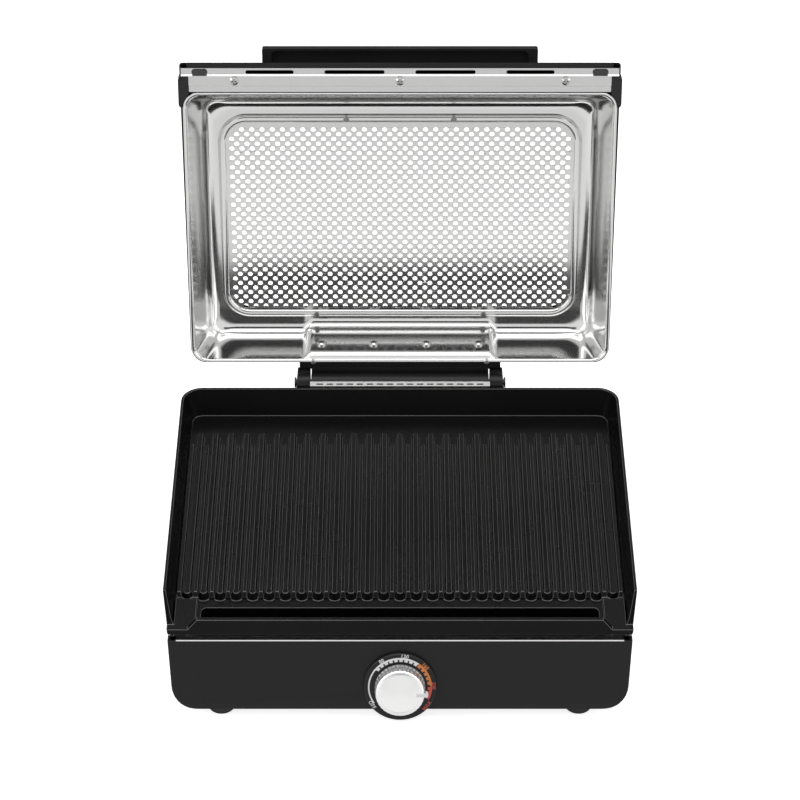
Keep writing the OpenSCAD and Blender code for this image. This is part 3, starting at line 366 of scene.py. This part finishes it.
def new_piece(mesh, name, body, material, seat, smooth=True):
    """Puts a bmesh drawn in millimetres on its seat, and makes it a piece that rides on a body."""
    bmesh.ops.transform(mesh, matrix=seat @ Matrix.Scale(0.001, 4), verts=mesh.verts)
    data = bpy.data.meshes.new(name)
    mesh.to_mesh(data)
    mesh.free()
    for face in data.polygons:
        face.use_smooth = smooth
    data.materials.append(material)
    piece = bpy.data.objects.new(name, data)
    bpy.context.scene.collection.objects.link(piece)
    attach(piece, body)
    return piece


def printed_arc(mesh, inner, outer, start, end):
    """A printed band on the dial between two angles, in degrees from the right."""
    turn = math.radians(start)
    near, far = (mesh.verts.new((radius*math.cos(turn), radius*math.sin(turn), PRINT_FACE))
                 for radius in (inner, outer))
    side = mesh.edges.new((near, far))
    bmesh.ops.spin(mesh, geom=[near, far, side], cent=(0, 0, 0), axis=(0, 0, 1), dvec=(0, 0, 0),
                   angle=math.radians(end - start), steps=max(1, round(abs(end - start)/3)), use_merge=False)


def printed_ticks(mesh, first, step, width, count):
    """A row of blocks inside the ring, clockwise from the first angle."""
    for number in range(count):
        start = first - step*number - 1.6
        printed_arc(mesh, TICK_IN, RING_IN, start, start - width)


def printed_word(mesh, text, angle, reads_out):
    """A number or word of the scale outside the ring, tops outwards or towards the centre."""
    curve = bpy.data.curves.new("print " + text, "FONT")
    curve.body = text
    curve.size = WORD_SIZE
    curve.align_x = "CENTER"
    curve.align_y = "CENTER"
    curve.resolution_u = 4
    curve.space_character = 1.08
    curve.offset = 0.07
    drawn = bpy.data.objects.new("print " + text, curve)
    bpy.context.scene.collection.objects.link(drawn)
    bpy.context.view_layer.update()
    flat = bpy.data.meshes.new_from_object(drawn)
    bpy.data.objects.remove(drawn)
    spot = math.radians(angle)
    turn = math.radians(angle - 90 if reads_out else angle + 90)
    flat.transform(Matrix.Translation((WORD_RADIUS*math.cos(spot), WORD_RADIUS*math.sin(spot), PRINT_FACE))
                   @ Matrix.Rotation(turn, 4, "Z"))
    mesh.from_mesh(flat)
    bpy.data.meshes.remove(flat)


def ink_piece(mesh, name, material):
    """Gives the flat print its film's thickness and seats it on the dial."""
    bmesh.ops.remove_doubles(mesh, verts=mesh.verts, dist=0.001)
    bmesh.ops.recalc_face_normals(mesh, faces=mesh.faces)
    turned = [face for face in mesh.faces if face.normal.z < 0]
    bmesh.ops.reverse_faces(mesh, faces=turned)
    grown = bmesh.ops.extrude_face_region(mesh, geom=mesh.faces[:], use_keep_orig=True)
    lifted = [item for item in grown["geom"] if isinstance(item, bmesh.types.BMVert)]
    bmesh.ops.translate(mesh, verts=lifted, vec=(0, 0, INK))
    bmesh.ops.recalc_face_normals(mesh, faces=mesh.faces)
    piece = new_piece(mesh, name, "base", material, dial_seat, smooth=False)
    return piece


wear_on("dial_plate", coated("dial black", (0.01, 0.01, 0.0105), 0.34, 0.42, 1200, 0.05, 0.25))

cool = bmesh.new()
printed_arc(cool, THIN_IN, RING_OUT, 143, 214)
printed_arc(cool, RING_IN, RING_OUT, 54, 143)
printed_ticks(cool, 143, 10, 6.8, 9)
printed_word(cool, "80", 123, True)
printed_word(cool, "120", 82, True)
printed_word(cool, "OFF", 214.5, False)
ink_piece(cool, "scale-white", coated("white ink", (0.8, 0.8, 0.8), 0.4, 0.5, 2500, 0.05))

warm = bmesh.new()
printed_arc(warm, RING_IN, RING_OUT, 3, 54)
printed_ticks(warm, 54, 10, 6.8, 5)
printed_word(warm, "160", 42, True)
ink_piece(warm, "scale-orange", coated("orange ink", (0.66, 0.22, 0.06), 0.4, 0.5, 2500, 0.05))

hot = bmesh.new()
printed_arc(hot, RING_IN, RING_OUT, -25, 2)
printed_ticks(hot, 2, 9, 6.6, 3)
printed_word(hot, "200", 3, True)
printed_word(hot, "MAX", -37, False)
ink_piece(hot, "scale-red", coated("red ink", (0.56, 0.08, 0.06), 0.4, 0.5, 2500, 0.05))


# ---------------------------------------------------------------- knob
# A fluted skirt with a steel cap pressed on it. The cap is turned on a lathe, so its lines run in rings.
# A white pointer is set into its side and runs a little way across the cap.

wear_on("knob_skirt", steel("skirt steel", (0.74, 0.74, 0.74), 0.34, 0.42, (300, 300, 300), 0.0))


def turned_steel(name, colour, low, high, bump):
    """Lathe-turned metal: fine rings about the knob's axis, in gloss and in height."""
    material, nodes, links, shader = new_material(name)
    shader.inputs["Metallic"].default_value = 1
    shader.inputs["Base Color"].default_value = list(colour) + [1]
    place = nodes.new("ShaderNodeTexCoord")
    square = nodes.new("ShaderNodeMapping")
    square.vector_type = "TEXTURE"
    square.inputs["Location"].default_value = knob_centre
    square.inputs["Rotation"].default_value = dial_seat.to_euler()
    flat = nodes.new("ShaderNodeVectorMath")
    flat.operation = "MULTIPLY"
    flat.inputs[1].default_value = (1, 1, 0)
    radius = nodes.new("ShaderNodeVectorMath")
    radius.operation = "LENGTH"
    rings = nodes.new("ShaderNodeTexNoise")
    rings.noise_dimensions = "1D"
    rings.inputs["Scale"].default_value = 4200
    rings.inputs["Detail"].default_value = 2
    spread = nodes.new("ShaderNodeMapRange")
    spread.inputs["To Min"].default_value = low
    spread.inputs["To Max"].default_value = high
    relief = nodes.new("ShaderNodeBump")
    relief.inputs["Strength"].default_value = bump
    relief.inputs["Distance"].default_value = 0.0001
    along = nodes.new("ShaderNodeTangent")
    along.direction_type = "UV_MAP"
    along.uv_map = "rings"
    shader.inputs["Anisotropic"].default_value = 0.75
    links.new(along.outputs["Tangent"], shader.inputs["Tangent"])
    links.new(place.outputs["Object"], square.inputs["Vector"])
    links.new(square.outputs["Vector"], flat.inputs[0])
    links.new(flat.outputs[0], radius.inputs[0])
    links.new(radius.outputs["Value"], rings.inputs["W"])
    links.new(rings.outputs["Fac"], spread.inputs["Value"])
    links.new(spread.outputs["Result"], shader.inputs["Roughness"])
    links.new(rings.outputs["Fac"], relief.inputs["Height"])
    links.new(relief.outputs["Normal"], shader.inputs["Normal"])
    return material


CAP_RADIUS = 21.8              # mm
CAP_FOOT = 15.3                # mm, underside of the cap over the housing's face
FLUTES, FLUTE_DEPTH = 36, 0.22
FLUTED_FROM = 21.0             # mm from the axis
cap_profile = ((0, 3.42), (17.4, 3.42), (17.75, 3.28), (18.1, 3.5), (18.6, 3.56), (20.6, 2.75), (21.4, 2.1),
               (21.75, 1.4), (21.8, 0.4), (21.5, 0.0), (0, 0.0))
cap = bmesh.new()
line = [cap.verts.new((r, 0, CAP_FOOT + z)) for r, z in cap_profile]
sides = [cap.edges.new(pair) for pair in zip(line, line[1:])]
bmesh.ops.spin(cap, geom=line + sides, cent=(0, 0, 0), axis=(0, 0, 1), dvec=(0, 0, 0), angle=2*math.pi,
               steps=FLUTES*8, use_merge=True)
bmesh.ops.remove_doubles(cap, verts=cap.verts, dist=0.0005)
for vert in cap.verts:
    reach = math.hypot(vert.co.x, vert.co.y)
    if reach > FLUTED_FROM:
        dip = FLUTE_DEPTH*(0.5 - 0.5*math.cos(FLUTES*math.atan2(vert.co.y, vert.co.x)))
        vert.co.x *= 1 - dip/reach
        vert.co.y *= 1 - dip/reach
bmesh.ops.recalc_face_normals(cap, faces=cap.faces)
ring_map = cap.loops.layers.uv.new("rings")
for face in cap.faces:
    middle = face.calc_center_median()
    turn = math.atan2(middle.y, middle.x)
    for corner in face.loops:
        spot = corner.vert.co
        reach = math.hypot(spot.x, spot.y)
        own = math.atan2(spot.y, spot.x) if reach > 0.01 else turn
        own += 2*math.pi*round((turn - own)/(2*math.pi))
        corner[ring_map].uv = (own/(2*math.pi), reach/CAP_RADIUS)
cap_steel = turned_steel("turned steel", (0.82, 0.82, 0.815), 0.3, 0.36, 0.15)
knob_cap = new_piece(cap, "turned-cap", "knob", cap_steel, dial_seat)
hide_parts("knob_cap")
cap_edges = knob_cap.modifiers.new("crisp edges", "EDGE_SPLIT")
cap_edges.split_angle = math.radians(28)

POINTER_TURN = -3              # degrees from the right
POINTER_SIZE = (8.2, 3.8, 1.1)
POINTER_MIDDLE = 18.2          # mm from the axis
white = coated("pointer white", (0.8, 0.8, 0.8), 0.2, 0.3, 600, 0.02)
wear_on("knob_pointer", white)
bar = bmesh.new()
bmesh.ops.create_cube(bar, size=1)
bmesh.ops.scale(bar, vec=POINTER_SIZE, verts=bar.verts)
bmesh.ops.bevel(bar, geom=bar.edges[:], offset=0.4, affect="EDGES", segments=3, profile=0.5, material=-1)
bmesh.ops.translate(bar, vec=(POINTER_MIDDLE, 0, CAP_FOOT + 3.35), verts=bar.verts)
bmesh.ops.rotate(bar, cent=(0, 0, 0), matrix=Matrix.Rotation(math.radians(POINTER_TURN), 3, "Z"),
                 verts=bar.verts)
pointer_bar = new_piece(bar, "pointer-bar", "knob", white, dial_seat)


# ---------------------------------------------------------------- grill plate
# One ribbed casting with a grease channel along its front, under a dark non-stick coating. Its broken edges
# are painted a much brighter grey, a painted highlight along the rib edges.

nonstick = coated("non-stick coating", (0.0042, 0.0042, 0.0042), 0.24, 0.3, 2200, 0.12, 0.12)
# Painted highlight: the edge rounds get a far brighter grey than the coating, in place of the light they
# catch.
edge_highlight_paint = coated("edge highlight paint", (0.055, 0.055, 0.054), 0.2, 0.26, 2200, 0.05, 0.5)
wear_on("grill_plate", nonstick)
broken_edges("grill_plate", 0.00045, 30, edge_highlight_paint)


# ---------------------------------------------------------------- hinge
# Cast stand with two ears, and the bracket whose barrel turns on the blackened pin between them.

hinge_black = coated("hinge black", (0.011, 0.011, 0.0115), 0.34, 0.44, 1500, 0.15, 0.25)
for node, width in (("hinge_stand", 0.0006), ("hinge_bracket", 0.0005)):
    wear_on(node, hinge_black)
    broken_edges(node, width)
wear_on("hinge_pin", steel("blackened steel", (0.05, 0.05, 0.05), 0.3, 0.45, EVEN, 0.05))


# ---------------------------------------------------------------- lid tub
# The lid's lining: one deep-drawn tub of polished steel with a narrow flange, a rounded fold to its roof,
# a window for the roof panel, and a pad pressed in from behind where the hinge is screwed on.

LID_OPEN = 101                 # degrees, at rest
lid_seat = (Matrix.Translation(hinge) @ Matrix.Rotation(math.radians(-LID_OPEN), 4, "X")
            @ Matrix.Translation((0, -0.0202, 0.0019)))
polished = steel("polished steel", (0.68, 0.68, 0.675), 0.11, 0.17, (40, 500, 500), 0.0)
# Outlines are half width, rear, front and corner radius, in mm on the lid's own axes, closed side down
TUB_DEPTH = 62.0
SHEET = 0.9
FLANGE = (199.5, 0.0, -275.0, 14.0)
FLANGE_WIDTH, FLANGE_FOLD = 3.0, 2.1
WALL_FOOT = 196.5              # half width of the wall at the flange
WALL_TOP = 182.0               # half width where it meets the roof
WALL_REAR, WALL_FRONT, WALL_CORNER = -3.0, -272.0, 13.5
FRONT_LEAN = 27.0              # how far the front wall leans in over its height
FOLD = 9.0                     # round between wall and roof
WINDOW = (165.9, -26.2, -223.4, 21.4)
PAD_HALF, PAD_FOOT, PAD_DEPTH = 90.0, 3.0, 6.0
PAD_SIDE, PAD_RISE, PAD_RUNOUT = 8.0, 4.0, 12.0     # lengths over which the pad blends out


def rounded_loop(mesh, outline, height, arc, across, along):
    """A closed loop in the lid's own axes: a rectangle with round corners, its sides cut finely."""
    half, rear, front, radius = outline
    corners = bmesh.ops.create_grid(mesh, x_segments=1, y_segments=1, size=1)["verts"]
    for vert in corners:
        vert.co = (math.copysign(half, vert.co.x), rear if vert.co.y > 0 else front, height)
    rounded = bmesh.ops.bevel(mesh, geom=corners, offset=radius, affect="VERTICES", segments=arc,
                              profile=0.5, material=-1)
    face = rounded["verts"][0].link_faces[0]
    edges = list(face.edges)
    bmesh.ops.delete(mesh, geom=[face], context="FACES_ONLY")
    for edge in sorted(edges, key=lambda e: -e.calc_length())[:4]:
        start, end = (vert.co for vert in edge.verts)
        level = abs(start.y - end.y) < abs(start.x - end.x)
        cut = bmesh.ops.subdivide_edges(mesh, edges=[edge], cuts=across if level else along)
        edges += [item for item in cut["geom_inner"] + cut["geom_split"]
                  if isinstance(item, bmesh.types.BMEdge)]
    return list(dict.fromkeys(edges))


def next_loop(mesh, edges, old, new, height):
    """Draws a loop on to the next outline and height, each point staying on its own side or corner."""
    grown = bmesh.ops.extrude_edge_only(mesh, edges=edges)["geom"]
    drawn = {item for item in grown if isinstance(item, bmesh.types.BMVert)}
    for vert in drawn:
        for axis, (was, now) in enumerate((((0, old[0]), (0, new[0])),
                                           (((old[1] + old[2])/2, (old[1] - old[2])/2),
                                            ((new[1] + new[2])/2, (new[1] - new[2])/2)))):
            flat_was, flat_now = was[1] - old[3], now[1] - new[3]
            shrink = new[3]/old[3]
            reach = vert.co[axis] - was[0]
            if abs(reach) <= flat_was:
                vert.co[axis] = now[0] + reach*flat_now/flat_was
            else:
                vert.co[axis] = now[0] + math.copysign(flat_now + (abs(reach) - flat_was)*shrink, reach)
        vert.co.z = height
    return [item for item in grown if isinstance(item, bmesh.types.BMEdge) and drawn.issuperset(item.verts)]


def smooth_step(value):
    """0 to 1 with soft ends."""
    value = min(1.0, max(0.0, value))
    return value*value*(3 - 2*value)


tub = bmesh.new()
half, rear, front, corner = FLANGE
outlines = []
for inset, height in ((0.0, 0.9), (0.1, 0.35), (0.5, 0.02), (1.0, 0.0)):
    outlines.append(((half - inset, rear - inset, front + inset, corner - inset*0.15), height))
for turn in (22.5, 45, 67.5):
    inset = FLANGE_WIDTH - FLANGE_FOLD*(1 - math.sin(math.radians(turn)))
    outlines.append(((half - inset, rear - inset, front + inset, corner - inset*0.15),
                     FLANGE_FOLD*(1 - math.cos(math.radians(turn)))))


def wall_outline(z, inset):
    """The wall's outline at a height, moved in by an inset."""
    share = z/TUB_DEPTH
    return ((WALL_FOOT + (WALL_TOP - WALL_FOOT)*share - inset, WALL_REAR - inset,
             WALL_FRONT + FRONT_LEAN*share + inset, WALL_CORNER - 1.5*share + inset*0.4), z)


for step in range(20):
    outlines.append(wall_outline(2.6 + 2.5*step, 0))
for turn in range(10, 91, 10):
    rise = math.radians(turn)
    outlines.append(wall_outline(TUB_DEPTH - FOLD*(1 - math.sin(rise)), FOLD*(1 - math.cos(rise))))
for inset in (FOLD + 1.5, FOLD + 3.5, FOLD + 7):
    outlines.append(wall_outline(TUB_DEPTH + 0.002*inset, inset))
outlines.append((WINDOW, TUB_DEPTH + 0.03))
loop = rounded_loop(tub, outlines[0][0], outlines[0][1], 12, 120, 40)
for (old, _), (new, height) in zip(outlines, outlines[1:]):
    loop = next_loop(tub, loop, old, new, height)
roof_from = WALL_REAR - FOLD   # where the fold ends and the flat roof starts
for vert in tub.verts:
    place = vert.co
    near_wall = place.z > PAD_FOOT - PAD_RISE/2 and place.y > roof_from - PAD_RUNOUT
    if near_wall and abs(place.x) < PAD_HALF + PAD_SIDE:
        side = smooth_step((PAD_HALF + PAD_SIDE/2 - abs(place.x))/PAD_SIDE)
        foot = smooth_step((place.z - PAD_FOOT + PAD_RISE/2)/PAD_RISE)
        shifted = place.y - PAD_DEPTH*foot
        back, up = shifted - roof_from + PAD_DEPTH, place.z - TUB_DEPTH + FOLD
        reach = math.hypot(back, up)
        if back > 0 and up > 0 and reach > FOLD:
            target = Vector((place.x, roof_from - PAD_DEPTH + back*FOLD/reach,
                             TUB_DEPTH - FOLD + up*FOLD/reach))
        else:
            target = Vector((place.x, min(shifted, place.y), place.z))
            if place.y < roof_from - 0.1:
                target.y = place.y - PAD_DEPTH*smooth_step((place.y - roof_from + PAD_RUNOUT)/PAD_RUNOUT)
        vert.co = place.lerp(target, side)
bmesh.ops.recalc_face_normals(tub, faces=tub.faces)
inward = sum(face.normal.x*face.calc_center_median().x for face in tub.faces)
if inward > 0:
    bmesh.ops.reverse_faces(tub, faces=tub.faces)
lid_tub = new_piece(tub, "drawn-tub", "lid", polished, lid_seat)
thickness = lid_tub.modifiers.new("sheet", "SOLIDIFY")
thickness.thickness = SHEET/1000
thickness.offset = -1
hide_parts("lid_tub")


# ---------------------------------------------------------------- roof panel
# A perforated sheet riveted under the tub's window, stiffened by a pressed bead round its field of holes.

wear_on("vent_panel", steel("panel steel", (0.64, 0.64, 0.635), 0.08, 0.15, ROLLED, 0.02))
sheet_joined = part["vent_panel"].modifiers.new("merge", "WELD")
sheet_joined.merge_threshold = SAME_POINT
fewer = part["vent_panel"].modifiers.new("fewer facets", "DECIMATE")
fewer.ratio = 0.82
wear_on("panel_rivets", steel("rivet steel", (0.22, 0.22, 0.22), 0.25, 0.35, EVEN, 0.03))
PANEL_HALF, PANEL_REAR, PANEL_FRONT, PANEL_CORNER = 172.5, -19.6, -230.0, 28.0
PANEL_FACE = 60.7
BEAD_MIDDLE, BEAD_HALF, BEAD_RISE = 4.1, 3.7, 2.35
bead = bmesh.new()
section = []
for step in range(13):
    around = math.pi*step/12
    inset = BEAD_MIDDLE - BEAD_HALF*math.cos(around)
    section.append(((PANEL_HALF - inset, PANEL_REAR - inset, PANEL_FRONT + inset, PANEL_CORNER - inset),
                    PANEL_FACE + 0.03 - BEAD_RISE*math.sin(around)))
loop = rounded_loop(bead, section[0][0], section[0][1], 16, 8, 8)
for (old, _), (new, height) in zip(section, section[1:]):
    loop = next_loop(bead, loop, old, new, height)
bmesh.ops.recalc_face_normals(bead, faces=bead.faces)
panel_bead = new_piece(bead, "pressed-bead", "lid", polished, lid_seat)


# ---------------------------------------------------------------- lid's outside
# A black painted shell over the tub, closed in front by a folded steel strip with steam slots. Moulded corner
# caps, rubber bumpers and a moulded handle are fixed to it, and the handle's screws are blackened.

wear_on("front_strip", steel("strip steel", (0.66, 0.66, 0.655), 0.16, 0.26, ROLLED, 0.03))
wear_on("lid_shell", coated("shell black", (0.011, 0.011, 0.0115), 0.35, 0.45, 1400, 0.12, 0.25))
wear_on("bumpers", coated("bumper rubber", (0.03, 0.03, 0.03), 0.5, 0.6, 900, 0.2))
for node in ("corner_caps", "lid_handle", "handle_screws"):
    wear_on(node, trim)
for node, width in (("lid_shell", 0.0005), ("lid_handle", 0.00015), ("corner_caps", 0.0006)):
    broken_edges(node, width)
